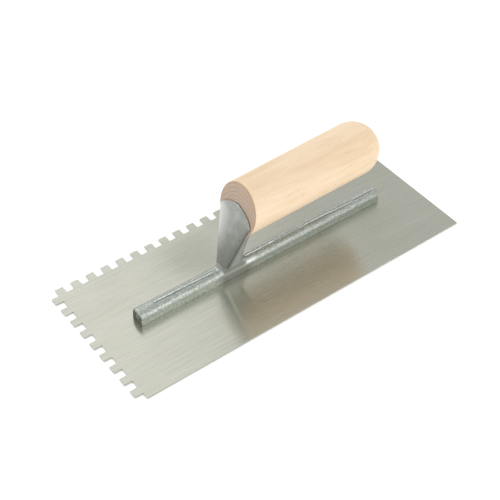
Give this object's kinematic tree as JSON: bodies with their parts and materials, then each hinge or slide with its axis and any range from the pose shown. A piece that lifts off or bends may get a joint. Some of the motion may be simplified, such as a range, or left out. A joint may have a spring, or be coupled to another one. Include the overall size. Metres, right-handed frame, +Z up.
{
  "type": "notched trowel",
  "caption": "Flat rectangular trowel with square notches along two edges, a cast bar and shank riveted on top, and a turned wooden handle, for spreading adhesive.",
  "frame": {"origin": "centre of the blade's flat underside", "axes": "+X along the blade towards the butt of the handle, +Y towards the notched long edge, +Z up from the blade to the handle"},
  "size_m": [0.28, 0.1142, 0.0817],
  "materials": {
    "blade_steel": "rolled and brushed along the blade, satin",
    "cast_aluminium": "as cast and tumbled, with a ground shank face",
    "handle_wood": "pale hardwood, turned and sanded, clear matt finish",
    "rivet_steel": "ground flush"
  },
  "bodies": {
    "root": {"blade": "blade_steel", "mounting": "cast_aluminium", "handle": "handle_wood", "rivet_1": "rivet_steel", "rivet_2": "rivet_steel", "rivet_3": "rivet_steel", "rivet_4": "rivet_steel", "rivet_5": "rivet_steel", "rivet_6": "rivet_steel", "rivet_7": "rivet_steel", "rivet_8": "rivet_steel"}
  },
  "joints": []
}
